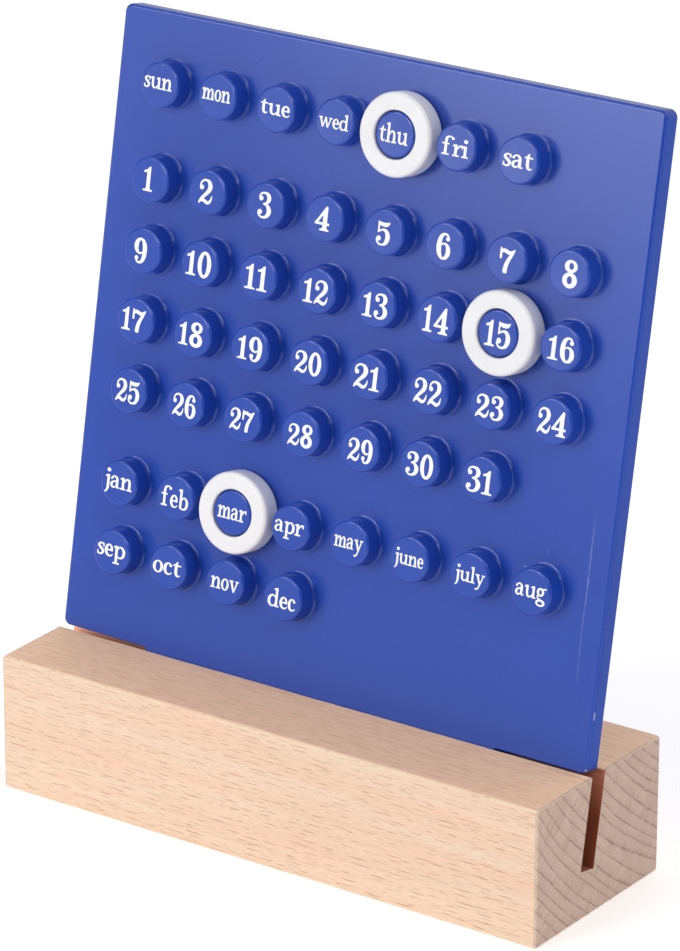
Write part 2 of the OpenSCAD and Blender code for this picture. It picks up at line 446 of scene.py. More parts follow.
SIX = [("S", [(110, 180, 22), (102, 204, 19), (80, 214, 20), (54, 205, 30), (35, 178, 40), (25, 136, 46),
              (24, 92, 48), (30, 52, 46), (47, 18, 32), (72, 5, 22), (98, 17, 34), (114, 46, 44), (117, 74, 46),
              (110, 106, 38), (90, 127, 24), (66, 131, 17), (46, 118, 13)]), ("C", 106, 176, 20)]
GLYPHS = {
    "0": [("O", 69, 110, 69, 117, 69, 110, 27, 90)],
    "1": [("P", [(56, 213), (70, 213), (70, 32), (73, 21), (82, 16), (98, 14), (98, 0), (0, 0), (0, 14), (19, 16),
                 (28, 21), (32, 32), (32, 158), (26, 162), (8, 157), (0, 160), (0, 172), (6, 178), (26, 184),
                 (40, 194), (49, 208)])],
    "2": [("S", [(22, 126, 20), (12, 148, 16), (18, 180, 17), (43, 203, 19), (72, 205, 22), (98, 191, 36),
                 (110, 160, 45), (104, 128, 42), (82, 98, 36), (55, 70, 30), (31, 42, 27), (16, 16, 24)]),
          ("C", 25, 140, 21),
          ("S", [(9, 15, 16), (28, 29, 25), (52, 31, 30), (76, 20, 32), (98, 14, 29), (118, 28, 24), (129, 52, 16),
                 (134, 80, 7)]), ("P", [(2, 0), (14, 0), (26, 18), (6, 24)])],
    "3": [("S", [(20, 158, 18), (14, 182, 16), (30, 206, 17), (60, 214, 20), (92, 204, 34), (107, 176, 43),
                 (100, 146, 36), (78, 127, 20), (52, 121, 12)]), ("C", 28, 165, 21),
          ("S", [(52, 119, 12), (84, 114, 22), (107, 92, 40), (116, 60, 46), (102, 26, 36), (72, 7, 22), (38, 8, 18),
                 (14, 28, 17), (11, 52, 20)]), ("C", 26, 49, 22)],
    "4": [("L", [(112, 199, 25), (13, 60, 24)]), ("P", [(0, 49), (149, 49), (149, 70), (0, 70), (-2, 60)]),
          ("P", [(80, 12), (125, 12), (125, 203), (119, 211), (108, 211), (80, 168)]),
          ("P", [(52, 0), (149, 0), (149, 14), (134, 17), (125, 28), (80, 28), (71, 17), (52, 14)])],
    "5": [("P", [(10, 213), (34, 206), (72, 203), (108, 207), (130, 214), (124, 192), (110, 174), (84, 166),
                 (50, 168), (27, 176), (27, 118), (10, 108)]),
          ("S", [(16, 112, 11), (40, 131, 17), (70, 139, 24), (98, 126, 38), (114, 92, 47), (112, 56, 46),
                 (96, 22, 34), (66, 6, 20), (34, 8, 18), (12, 28, 18), (8, 52, 20)]), ("C", 26, 58, 23)],
    "6": SIX,
    "7": [("S", [(11, 206, 14), (12, 170, 20), (13, 140, 23), (13, 122, 21)], "round"),
          ("S", [(12, 172, 28), (34, 186, 34), (60, 184, 36), (88, 173, 34), (114, 178, 30), (136, 194, 20),
                 (149, 208, 7)]),
          ("S", [(138, 194, 18), (118, 160, 30), (95, 120, 35), (77, 80, 40), (67, 40, 43), (65, 0, 44)])],
    "8": [("O", 72, 178, 62, 54, 76, 180, 23, 29), ("O", 71, 61, 71, 66, 69, 62, 25, 34)],
    "9": [(("S", [(142 - x, 219 - y, w) for x, y, w in SIX[0][1]])), ("C", 36, 43, 20)],
    "a": [("S", [(15, 74, 13), (22, 89, 14), (40, 94, 16), (56, 84, 22), (61, 64, 26), (61, 18, 25), (69, 6, 15),
                 (86, 9, 8)]), ("C", 15, 76, 10),
          ("S", [(62, 59, 11), (42, 55, 14), (21, 45, 20), (13, 27, 25), (21, 9, 20), (38, 6, 15), (54, 19, 11)])],
    "b": [st(12, 6, 155), flag(12, 155), ("S", [(30, 70, 12), (50, 91, 15), (68, 86, 21), (82, 66, 26), (84, 46, 27),
                                              (78, 22, 25), (64, 7, 19), (46, 4, 15), (26, 9, 14)])],
    "c": [("S", [(59, 80, 13), (50, 91, 15), (36, 94, 15), (21, 82, 22), (14, 52, 27), (21, 20, 25), (36, 6, 18),
                 (54, 9, 13), (68, 24, 7)]), ("C", 57, 78, 11)],
    "d": [st(66, 4, 155), flag(66, 155), ("P", [(66, 0), (104, 0), (104, 11), (92, 14), (66, 14)]),
          ("S", [(72, 76, 11), (54, 91, 15), (34, 89, 20), (19, 70, 26), (15, 48, 27), (20, 24, 26), (34, 8, 20),
                 (52, 6, 15), (72, 24, 12)])],
    "e": [("P", [(20, 46), (71, 46), (71, 58), (20, 58)]),
          ("S", [(60, 48, 22), (60, 70, 23), (52, 87, 18), (38, 94, 15), (22, 83, 22), (14, 60, 26), (14, 40, 27),
                 (24, 16, 24), (42, 6, 17), (58, 9, 13), (71, 24, 7)])],
    "f": [st(16, 4, 122), foot(2, 58), ("P", [(0, 86), (56, 86), (56, 98), (0, 98)]),
          ("S", [(29, 112, 26), (33, 138, 24), (46, 151, 18), (64, 153, 15), (78, 146, 14)]), ("C", 79, 141, 12)],
    "g": [("O", 38, 64, 35, 35, 38, 64, 13, 20), ("P", [(56, 86), (94, 90), (94, 102), (62, 98)]),
          ("S", [(22, 38, 14), (12, 26, 15), (18, 12, 16), (40, 6, 17)]),
          ("O", 44, -22, 44, 29, 42, -24, 24, 13)],
    "h": [st(10, 4, 155), flag(10, 155), foot(0, 46), foot(57, 103),
          ("S", [(34, 62, 13), (44, 82, 15), (58, 91, 18), (73, 84, 24), (80, 62, 26), (80, 4, 26)])],
    "i": [st(12, 4, 98), flag(12, 98), foot(0, 50), ("C", 25, 134, 16)],
    "j": [("S", [(30, 98, 26), (30, 10, 26), (28, -12, 24), (20, -32, 19), (6, -46, 11)]), flag(17, 98),
          ("C", 30, 136, 16)],
    "l": [st(12, 4, 155), flag(12, 155), foot(0, 50)],
    "m": [st(10, 4, 98), flag(10, 98), foot(0, 44), foot(50, 92), foot(98, 141),
          ("S", [(34, 62, 12), (43, 82, 14), (54, 91, 17), (66, 83, 22), (71, 62, 25), (71, 4, 25)]),
          ("S", [(82, 62, 12), (92, 82, 14), (103, 91, 17), (115, 83, 22), (120, 62, 25), (120, 4, 25)])],
    "n": [st(10, 4, 98), flag(10, 98), foot(0, 46), foot(56, 102),
          ("S", [(34, 62, 13), (44, 82, 15), (58, 91, 18), (72, 84, 24), (79, 62, 26), (79, 4, 26)])],
    "o": [("O", 39, 48, 39, 51, 39, 48, 18, 39)],
    "p": [st(12, -44, 98), flag(12, 98), foot(0, 54, y=-48),
          ("S", [(30, 70, 12), (50, 91, 15), (70, 86, 21), (84, 66, 26), (86, 46, 27), (80, 22, 25), (64, 7, 18),
                 (48, 6, 14), (32, 16, 12)])],
    "r": [st(10, 4, 98), flag(10, 98), foot(0, 52),
          ("S", [(34, 60, 13), (44, 81, 15), (57, 89, 19), (72, 86, 16)]), ("P", [(60, 98), (78, 98), (77, 66), (70, 66)])],
    "s": [("S", [(54, 72, 9), (50, 86, 14), (35, 93, 15), (18, 83, 20), (15, 70, 23), (28, 56, 26), (42, 44, 26),
                 (50, 28, 24), (44, 11, 19), (27, 4, 15), (12, 12, 13), (8, 28, 9)]),
          ("P", [(50, 66), (60, 66), (58, 95), (53, 95)]), ("P", [(4, 2), (10, 2), (13, 33), (3, 33)])],
    "t": [("P", [(13, 90), (25, 118), (38, 126), (38, 90)]),
          ("S", [(26, 96, 25), (26, 38, 26), (31, 16, 24), (43, 6, 16), (61, 16, 8)]),
          ("P", [(0, 86), (62, 86), (62, 98), (6, 98)])],
    "u": [st(10, 34, 98), flag(10, 98), ("S", [(23, 40, 26), (28, 18, 24), (42, 7, 18), (58, 11, 15), (74, 30, 12)]),
          st(70, 4, 98), flag(70, 98), ("P", [(70, 0), (107, 0), (107, 11), (96, 14), (70, 14)])],
    "v": [("L", [(20, 92, 27), (51, 0, 20)]), ("L", [(82, 92, 16), (52, 0, 15)]), foot(0, 42, 86, 12), foot(64, 98, 86, 12)],
    "w": [("L", [(20, 92, 26), (47, 0, 19)]), ("L", [(73, 96, 15), (48, 0, 14)]), ("L", [(72, 98, 26), (99, 0, 19)]),
          ("L", [(128, 92, 16), (100, 0, 14)]), foot(0, 40, 86, 12), foot(110, 146, 86, 12)],
    "y": [("L", [(20, 92, 27), (53, 6, 22)]), ("L", [(85, 92, 16), (55, 6, 16), (44, -20, 17)]),
          ("S", [(46, -16, 17), (38, -34, 18), (22, -44, 17), (8, -42, 17)]), foot(0, 42, 86, 12), foot(66, 102, 86, 12)],
}
GAP = {"1": 22}


def curve_samples(pts, smooth, per=6):
    p = np.array(pts, float)
    if not smooth or len(p) < 3:
        return p
    q = np.vstack([2 * p[0] - p[1], p, 2 * p[-1] - p[-2]])
    out = []
    for i in range(1, len(q) - 2):
        p0, p1, p2, p3 = q[i - 1], q[i], q[i + 1], q[i + 2]
        for k in range(per):
            t = k / per
            out.append(0.5 * ((2 * p1) + (-p0 + p2) * t + (2 * p0 - 5 * p1 + 4 * p2 - p3) * t * t
                              + (-p0 + 3 * p1 - 3 * p2 + p3) * t ** 3))
    out.append(q[-2])
    return np.array(out)


def hull(pts):
    """Convex hull, counter-clockwise."""
    p = sorted(set((round(float(x), 6), round(float(y), 6)) for x, y in pts))
    res = []
    for q in (p, p[::-1]):
        part = []
        for c in q:
            while len(part) > 1 and ((part[-1][0] - part[-2][0]) * (c[1] - part[-2][1])
                                     - (part[-1][1] - part[-2][1]) * (c[0] - part[-2][0])) <= 1e-9:
                part.pop()
            part.append(c)
        res += part[:-1]
    return np.array(res)


def glyph_polys(shape, weight=1.0):
    """Convex or simple polygons whose union is the shape."""
    kind = shape[0]
    if kind == "P":
        return [np.array(shape[1], float)]
    if kind == "C":
        a = np.arange(20) * 2 * math.pi / 20
        return [np.stack([shape[1] + shape[3] * np.cos(a), shape[2] + shape[3] * np.sin(a)], 1)]
    if kind == "O":
        _, cx, cy, rx, ry, ix, iy, sx, sy = shape
        a = np.arange(41) * 2 * math.pi / 40
        o = np.stack([cx + rx * np.cos(a), cy + ry * np.sin(a)], 1)
        i = np.stack([ix + sx * np.cos(a), iy + sy * np.sin(a)], 1)
        return [np.array([o[k], o[k + 1], i[k + 1], i[k]]) for k in range(40)]
    c = curve_samples(shape[1], kind == "S")
    xy, w = c[:, :2], c[:, 2] * weight
    t = np.gradient(xy, axis=0)
    t /= np.linalg.norm(t, axis=1, keepdims=True)
    nn = np.stack([-t[:, 1], t[:, 0]], 1) * (w / 2)[:, None]
    l, r = xy + nn, xy - nn
    res = [hull((r[k], r[k + 1], l[k + 1], l[k])) for k in range(len(xy) - 1)]
    if kind == "S":
        # soft joints, and ends that are a little rounded
        for k in range(1, len(xy) - 1, 3):
            a = np.arange(12) * 2 * math.pi / 12
            res.append(np.stack([xy[k, 0] + w[k] / 2 * 0.985 * np.cos(a), xy[k, 1] + w[k] / 2 * 0.985 * np.sin(a)], 1))
    if len(shape) > 2:
        for k in (0, -1):
            a = np.arange(16) * 2 * math.pi / 16
            res.append(np.stack([xy[k, 0] + w[k] / 2 * np.cos(a), xy[k, 1] + w[k] / 2 * np.sin(a)], 1))
    return res


def word_polys(word, box):
    """Polygons of a whole word, fitted to box (x0, x1, y0, y1) in millimetres."""
    polys, pen = [], 0.0
    digits = word.isdigit()
    for i, ch in enumerate(word):
        g = [q for sh in GLYPHS[ch] for q in glyph_polys(sh, 0.95 if digits else 0.83)]
        lo = min(q[:, 0].min() for q in g)
        hi = max(q[:, 0].max() for q in g)
        if i:
            pen += 16 if digits else (3 if (word[i - 1], ch) not in (("r", "i"), ("f", "r"), ("f", "e")) else -8)
        polys += [q + np.array([pen - lo, 0]) for q in g]
        pen += hi - lo
    allp = np.concatenate(polys)
    lo, hi = allp.min(0), allp.max(0)
    x0, x1, y0, y1 = box
    sc = np.array([(x1 - x0) / (hi[0] - lo[0]), (y1 - y0) / (hi[1] - lo[1])])
    return [(q - lo) * sc + np.array([x0, y0]) for q in polys]


def union_tris(polys):
    pts, faces = [], []
    for q in polys:
        a = 0.5 * np.sum(q[:, 0] * np.roll(q[:, 1], -1) - np.roll(q[:, 0], -1) * q[:, 1])
        if abs(a) < 1e-7:
            continue
        if a < 0:
            q = q[::-1]
        b = len(pts)
        pts += [Vector((float(x), float(y))) for x, y in q]
        faces.append(list(range(b, b + len(q))))
    vo, _, fo, _, _, of = delaunay_2d_cdt(pts, [], faces, 1, 1e-4, True)
    vv = np.array([(p[0], p[1]) for p in vo])
    tris = []
    for f, o in zip(fo, of):
        if not o:
            continue
        for k in range(1, len(f) - 1):
            t = (f[0], f[k], f[k + 1])
            a, b, c = vv[t[0]], vv[t[1]], vv[t[2]]
            area = (b[0] - a[0]) * (c[1] - a[1]) - (b[1] - a[1]) * (c[0] - a[0])
            if abs(area) > 1e-9:
                tris.append(t if area > 0 else t[::-1])
    return vv, tris


# Where the ink of each label lies on its stud's face, in millimetres from the face's centre
INK = {
    "sun": (-4.4, 3.5, -1.05, 1.75), "mon": (-4.25, 3.65, -1.0, 1.75), "tue": (-4.2, 4.0, -1.35, 2.0),
    "wed": (-4.35, 3.8, -1.6, 2.1), "thu": (-4.2, 3.55, -1.95, 2.5), "fri": (-3.75, 3.35, -1.95, 2.4),
    "sat": (-3.9, 3.85, -1.7, 2.1),
    "1": (-1.8, 0.85, -2.7, 3.05), "2": (-2.25, 1.5, -2.7, 3.1), "3": (-2.0, 1.75, -3.0, 3.15),
    "4": (-2.45, 1.5, -2.75, 2.9), "5": (-2.0, 1.7, -3.1, 2.45), "6": (-2.15, 1.6, -3.15, 2.9),
    "7": (-1.85, 2.15, -3.1, 2.65), "8": (-1.6, 2.2, -3.2, 3.1), "9": (-2.45, 1.2, -3.15, 2.9),
    "10": (-3.7, 3.25, -3.15, 3.1), "11": (-3.4, 2.8, -3.0, 2.85), "12": (-3.45, 3.25, -2.95, 2.7),
    "13": (-3.45, 3.25, -3.1, 2.85), "14": (-3.45, 3.25, -3.2, 2.9), "15": (-3.25, 3.4, -3.25, 2.8),
    "16": (-3.05, 3.75, -3.05, 2.75), "17": (-3.85, 2.8, -2.7, 2.9), "18": (-3.7, 2.95, -2.85, 3.05),
    "19": (-3.35, 3.4, -2.85, 3.0), "20": (-3.7, 3.55, -2.8, 2.75), "21": (-3.7, 3.3, -2.85, 2.8),
    "22": (-3.7, 3.6, -2.9, 2.85), "23": (-3.45, 3.85, -2.85, 2.75), "24": (-3.5, 3.9, -2.95, 2.9),
    "25": (-3.5, 3.25, -2.95, 2.6), "26": (-3.4, 3.15, -2.95, 2.65), "27": (-3.4, 3.25, -2.85, 2.4),
    "28": (-3.4, 3.35, -3.0, 2.5), "29": (-3.1, 3.55, -3.1, 2.5), "30": (-3.6, 3.65, -3.15, 2.6),
    "31": (-3.7, 3.25, -3.25, 2.65),
    "jan": (-4.0, 3.85, -2.85, 3.1), "feb": (-3.95, 3.85, -2.45, 2.55), "mar": (-4.1, 3.95, -1.65, 1.3),
    "apr": (-4.35, 3.7, -2.65, 1.5), "may": (-4.1, 3.8, -2.55, 1.5), "june": (-3.7, 4.0, -2.55, 2.35),
    "july": (-3.65, 4.15, -2.75, 2.2), "aug": (-4.1, 4.05, -2.75, 1.55), "sep": (-4.25, 3.9, -2.6, 1.85),
    "oct": (-4.3, 3.75, -1.8, 1.95), "nov": (-3.95, 3.95, -1.8, 1.05), "dec": (-4.05, 3.75, -2.4, 2.1),
}


def split_pinches(p, tris):
    """Where two parts of the ink meet in one point only, gives each part a point of its own, a hair apart."""
    p, tris = [np.array(q) for q in p], [list(t) for t in tris]
    at = {}
    for k, t in enumerate(tris):
        for i in t:
            at.setdefault(i, []).append(k)
    for i, ks in list(at.items()):
        fans = []
        for k in ks:
            rim = set(tris[k]) - {i}
            touch = [f for f in fans if f[1] & rim]
            for f in touch:
                fans.remove(f)
            fans.append(([k] + [a for f in touch for a in f[0]], rim.union(*[f[1] for f in touch])))
        if len(fans) < 2:
            continue
        home = p[i].copy()
        for n, (ks2, rim) in enumerate(fans):
            to = np.mean([p[j] for j in rim], axis=0) - home
            new = home + to * min(0.15, 0.008 / max(float(np.linalg.norm(to)), 1e-9))
            if n == 0:
                p[i] = new
                continue
            p.append(new)
            for k in ks2:
                tris[k][tris[k].index(i)] = len(p) - 1
    return np.array(p), tris


def build_labels(name, items):
    """One closed thin solid of ink for each word, lying on the stud's dished face."""
    verts, faces = [], []
    for word, (cx, cs) in items:
        vv, tris = union_tris(word_polys(word, INK[word]))
        used = sorted(set(i for t in tris for i in t))
        idx = {o: k for k, o in enumerate(used)}
        p, tris = split_pinches(vv[used], [[idx[i] for i in t] for t in tris])
        r = np.hypot(p[:, 0], p[:, 1])
        fd = face_d(np.minimum(r, 4.78))
        b0 = len(verts)
        k = len(p)
        verts += pan(cx + p[:, 0], cs + p[:, 1], fd + 0.02).tolist()
        verts += pan(cx + p[:, 0], cs + p[:, 1], fd - 0.03).tolist()
        edge = {}
        for t in tris:
            faces.append((b0 + t[0], b0 + t[1], b0 + t[2]))
            faces.append((b0 + k + t[2], b0 + k + t[1], b0 + k + t[0]))
            for a, c in ((t[0], t[1]), (t[1], t[2]), (t[2], t[0])):
                edge[(a, c)] = True
        for a, c in edge:
            if (c, a) not in edge:
                faces.append((b0 + a, b0 + k + a, b0 + k + c, b0 + c))
    me = bpy.data.meshes.new(name)
    me.from_pydata([tuple(c * 0.001 for c in v) for v in verts], [], faces)
    me.update()
    ob = bpy.data.objects.new(name, me)
    SC.collection.objects.link(ob)
    return ob


# ---------------------------------------------------------------------------
# Materials
# ---------------------------------------------------------------------------
class Mat:
    def __init__(self, name):
        self.m = bpy.data.materials.new(name)
        self.m.use_nodes = True
        self.t = self.m.node_tree
        self.t.nodes.clear()
        self.out = self.t.nodes.new("ShaderNodeOutputMaterial")
        self.bsdf = self.t.nodes.new("ShaderNodeBsdfPrincipled")
        self.t.links.new(self.bsdf.outputs[0], self.out.inputs[0])

    def put(self, sock, val):
        if isinstance(val, bpy.types.NodeSocket):
            self.t.links.new(val, sock)
        else:
            if sock.type == "RGBA" and len(val) == 3:
                val = (*val, 1.0)
            sock.default_value = val

    def node(self, kind, ins=None, **props):
        n = self.t.nodes.new("ShaderNode" + kind)
        for k, v in props.items():
            setattr(n, k, v)
        for k, v in (ins or {}).items():
            self.put(n.inputs[k], v)
        return n

    def math(self, op, a, b=None, c=None, clamp=False):
        n = self.node("Math", operation=op, use_clamp=clamp)
        for i, v in enumerate((a, b, c)):
            if v is not None:
                self.put(n.inputs[i], v)
        return n.outputs[0]

    def vmath(self, op, a, b=None, scale=None):
        n = self.node("VectorMath", operation=op)
        self.put(n.inputs[0], a)
        if b is not None:
            self.put(n.inputs[1], b)
        if scale is not None:
            self.put(n.inputs["Scale"], scale)
        return n.outputs["Value"] if op in ("DOT_PRODUCT", "LENGTH", "DISTANCE") else n.outputs[0]

    def xyz(self, x, y, z):
        return self.node("CombineXYZ", {0: x, 1: y, 2: z}).outputs[0]

    def sep(self, v):
        n = self.node("SeparateXYZ", {0: v})
        return n.outputs[0], n.outputs[1], n.outputs[2]

    def noise(self, vec, scale, detail=2.0, rough=0.5, distort=0.0):
        return self.node("TexNoise", {"Vector": vec, "Scale": scale, "Detail": detail, "Roughness": rough,
                                      "Distortion": distort}).outputs["Fac"]

    def mix(self, fac, a, b, blend="MIX"):
        n = self.node("Mix", data_type="RGBA", blend_type=blend)
        self.put(n.inputs[0], fac)
        self.put(n.inputs[6], a)
        self.put(n.inputs[7], b)
        return n.outputs[2]

    def span(self, v, a, b, c=0.0, d=1.0, smooth=True):
        n = self.node("MapRange", {"Value": v, "From Min": a, "From Max": b, "To Min": c, "To Max": d})
        n.interpolation_type = "SMOOTHSTEP" if smooth else "LINEAR"
        n.clamp = True
        return n.outputs[0]

    def bump(self, height, dist, strength=1.0, normal=None):
        ins = {"Height": height, "Distance": dist, "Strength": strength}
        n = self.node("Bump", ins)
        if normal is not None:
            self.put(n.inputs["Normal"], normal)
        return n.outputs[0]

    def pos(self):
        """Position at rest in millimetres."""
        return self.vmath("SCALE", self.node("TexCoord").outputs["Object"], scale=1000.0)

    def set(self, **kw):
        for k, v in kw.items():
            self.put(self.bsdf.inputs[k.replace("_", " ")], v)


def blue_plastic():
    m = Mat("blue_abs")
    p = m.pos()
    q = m.vmath("SUBTRACT", p, tuple(ORG))
    s = m.vmath("DOT_PRODUCT", q, tuple(UP))
    d = m.vmath("DOT_PRODUCT", q, tuple(OUT))
    x = m.sep(p)[0]
    flow = m.noise(m.xyz(m.math("MULTIPLY", x, 0.02), m.math("MULTIPLY", s, 0.03), 0.0), 1.0, 1.0, 0.5)
    fine = m.noise(p, 1.5, 2.0, 0.6)
    col = m.mix(m.span(flow, 0.35, 0.65), (0.0135, 0.0585, 0.387), (0.0155, 0.063, 0.407))
    col = m.mix(m.span(fine, 0.3, 0.7, 0.0, 0.25), col, (0.0195, 0.072, 0.433))
    # pale dust and lint, and a few larger specks
    vor = m.node("TexVoronoi", {"Vector": p, "Scale": 0.22, "Randomness": 1.0})
    pick = m.math("LESS_THAN", m.sep(vor.outputs["Color"])[0], 0.22)
    speck = m.math("MULTIPLY", pick, m.span(vor.outputs["Distance"], 0.018, 0.034, 1.0, 0.0))
    at = m.xyz(x, s, 0.0)
    front = m.span(d, -0.9, -0.6)
    for sx, ss, sr in ((-30.1, 16.4, 0.24), (-11.6, 17.4, 0.22), (50.9, 42.9, 0.30), (-61.8, 71.1, 0.22), (-40.9, 60.2, 0.2)):
        speck = m.math("MAXIMUM", speck, m.math("MULTIPLY", m.span(m.vmath("DISTANCE", at, (sx, ss, 0.0)), 0.45 * sr, sr, 1.0, 0.0), front))
    lint = m.math("MULTIPLY", speck, 0.5)
    col = m.mix(lint, col, (0.30, 0.36, 0.62))
    # one long faint scratch down the right side; on that edge, a painted highlight on the bottom corner and a short
    # pale tick higher up
    wave = m.noise(m.xyz(0.0, m.math("MULTIPLY", s, 0.07), 5.0), 1.0, 1.0, 0.5)
    away = m.math("ABSOLUTE", m.math("SUBTRACT", x, m.math("MULTIPLY_ADD", wave, 0.7, 67.2)))
    mark = m.math("MULTIPLY", m.span(away, 0.05, 0.19, 1.0, 0.0), m.math("MULTIPLY", m.span(s, 17.0, 27.0), m.span(s, 48.0, 61.0, 1.0, 0.0)))
    mark = m.math("MULTIPLY", mark, m.span(m.noise(m.xyz(0.0, m.math("MULTIPLY", s, 0.5), 9.0), 1.0, 2.0, 0.6), 0.3, 0.7, 0.25, 1.0))
    mark = m.math("MULTIPLY", mark, m.span(s, 30.0, 42.0, 0.45, 1.0))
    for a0, a1, b0, b1 in ((56.3, 56.42, 46.9, 48.2), (67.45, 67.57, 83.5, 85.0)):
        line = m.math("MULTIPLY", m.span(m.math("ABSOLUTE", m.math("SUBTRACT", x, (a0 + a1) / 2)), 0.03, 0.12, 1.0, 0.0),
                      m.span(m.math("ABSOLUTE", m.math("SUBTRACT", s, (b0 + b1) / 2)), 0.3 * (b1 - b0), 0.5 * (b1 - b0), 1.0, 0.0))
        mark = m.math("MAXIMUM", mark, m.math("MULTIPLY", line, 0.5))
    col = m.mix(m.math("MULTIPLY", m.math("MULTIPLY", mark, front), 0.8), col, (0.26, 0.33, 0.68))
    # painted highlight: a pale spot on the rounded bottom-right corner stands in for a glint of light there
    corner_highlight = m.span(m.vmath("DISTANCE", m.xyz(x, s, d), (PANEL_X1 - 0.28, 0.85, -0.25)), 0.22, 0.5, 1.0, 0.0)
    tick = m.math("MULTIPLY", m.span(m.vmath("DISTANCE", m.xyz(x, 0.0, d), (PANEL_X1, 0.0, -0.55)), 0.12, 0.3, 1.0, 0.0),
                  m.span(m.math("ABSOLUTE", m.math("SUBTRACT", s, 13.4)), 0.6, 1.1, 1.0, 0.0))
    col = m.mix(m.math("MULTIPLY", m.math("MAXIMUM", corner_highlight, tick), 0.7), col, (0.42, 0.45, 0.80))
    # roughness: satin, with faint handling marks; moulded fillets and rims are smoother than the flats
    smear = m.noise(m.xyz(m.math("MULTIPLY", x, 0.03), m.math("MULTIPLY", s, 0.02), 3.0), 1.0, 1.0, 0.5)
    rough = m.span(smear, 0.3, 0.7, 0.25, 0.265)
    rough = m.math("ADD", rough, m.math("MULTIPLY", lint, 0.3))
    rough = m.math("SUBTRACT", rough, m.math("MULTIPLY", m.span(d, 3.5, 4.8), 0.012))
    fillet = m.node("Attribute", attribute_name="fillet", attribute_type="GEOMETRY").outputs["Fac"]
    rough = m.math("SUBTRACT", rough, m.math("MULTIPLY", m.span(fillet, 0.0, 0.5), 0.14))
    peel = m.noise(p, 0.9, 1.0, 0.5)
    nrm = m.bump(peel, 0.0000035)
    nrm = m.bump(speck, 0.00003, normal=nrm)
    # the side of the moulding is duller than its face
    spec = m.span(x, PANEL_X1 - 0.12, PANEL_X1 - 0.02, 0.42, 0.10)
    m.set(Base_Color=col, Roughness=rough, Normal=nrm, IOR=1.54, Specular_IOR_Level=spec)
    return m.m


def white_plastic():
    m = Mat("white_abs")
    p = m.pos()
    big = m.noise(p, 0.12, 2.0, 0.5)
    col = m.mix(m.span(big, 0.3, 0.7), (0.775, 0.768, 0.785), (0.805, 0.798, 0.818))
    rough = m.span(m.noise(p, 0.5, 4.0, 0.6, 0.8), 0.3, 0.7, 0.34, 0.43)
    nrm = m.bump(m.noise(p, 5.0, 2.0, 0.5), 0.0000025)
    nrm = m.bump(m.noise(p, 0.5, 2.0, 0.5), 0.00001, normal=nrm)
    m.set(Base_Color=col, Roughness=rough, Normal=nrm, IOR=1.52, Subsurface_Weight=0.12,
          Subsurface_Radius=(1.0, 0.9, 0.8), Subsurface_Scale=0.001)
    return m.m


def ink():
    m = Mat("white_ink")
    p = m.pos()
    g = m.noise(p, 3.0, 3.0, 0.6)
    col = m.mix(m.span(g, 0.3, 0.7), (0.86, 0.86, 0.87), (0.93, 0.93, 0.94))
    rough = m.span(m.noise(p, 1.3, 2.0, 0.5), 0.3, 0.7, 0.40, 0.55)
    nrm = m.bump(m.noise(p, 4.0, 2.0, 0.5), 0.000006)
    m.set(Base_Color=col, Roughness=rough, Normal=nrm, IOR=1.48)
    return m.m


